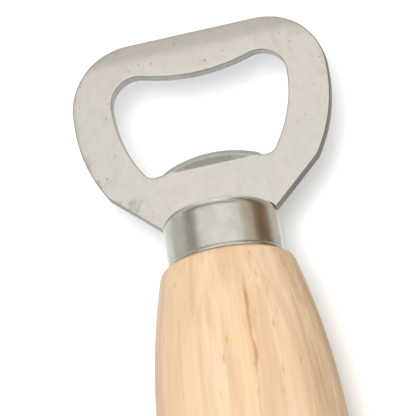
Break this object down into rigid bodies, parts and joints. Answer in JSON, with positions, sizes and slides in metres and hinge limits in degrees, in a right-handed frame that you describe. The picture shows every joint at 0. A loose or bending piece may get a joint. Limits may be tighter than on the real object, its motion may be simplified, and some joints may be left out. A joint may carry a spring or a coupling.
{
  "type": "bottle opener",
  "caption": "Hand-held crown cap opener: a stamped steel loop head with a folded lifting lip, set through a plated ferrule into a turned wooden handle.",
  "frame": {"origin": "on the surface that the opener lies on, below the middle of its overall box", "axes": "+Y along the handle's axis towards the head, +Z out of the head's front face, +X across the head"},
  "size_m": [0.042, 0.1504, 0.0298],
  "materials": {
    "head_steel": "satin, fine grain across the head's height",
    "ferrule_plating": "bright nickel plating over a drawn steel cup",
    "handle_wood": "fine sanded pale hardwood, thin satin lacquer",
    "adhesive": "cured epoxy"
  },
  "bodies": {
    "root": {"head_plate": "head_steel", "ferrule": "ferrule_plating", "handle": "handle_wood", "tang_adhesive": "adhesive"}
  },
  "joints": []
}
